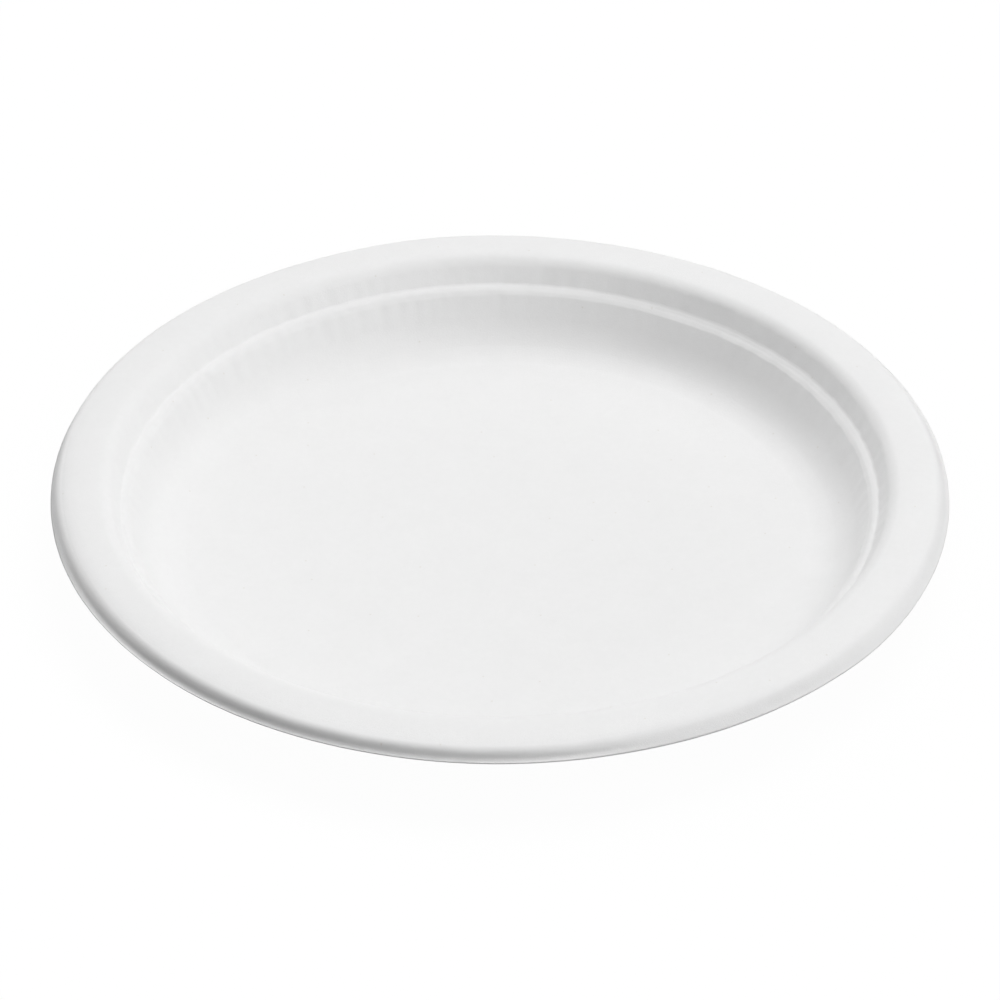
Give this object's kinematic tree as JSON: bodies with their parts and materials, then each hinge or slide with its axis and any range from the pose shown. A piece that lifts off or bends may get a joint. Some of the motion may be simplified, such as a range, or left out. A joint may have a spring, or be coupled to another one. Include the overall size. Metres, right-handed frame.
{
  "type": "paper plate",
  "caption": "Round disposable plate pressed from white plant-fibre pulp, with a flat floor, a steep wall with a stacking ledge, a crowned rim and a rolled edge.",
  "frame": {"origin": "middle of the underside of the floor, on the surface that the plate stands on", "axes": "+Z is the plate's axis and points up out of the dish; the plate is a body of revolution, so +X and +Y are any two level directions"},
  "size_m": [0.23, 0.23, 0.0208],
  "materials": {
    "pressed_fibre": "white plant-fibre pulp, wet-pressed and dried in the mould: matt, with faint fibre clouding"
  },
  "bodies": {
    "root": {"plate": "pressed_fibre"}
  },
  "joints": []
}
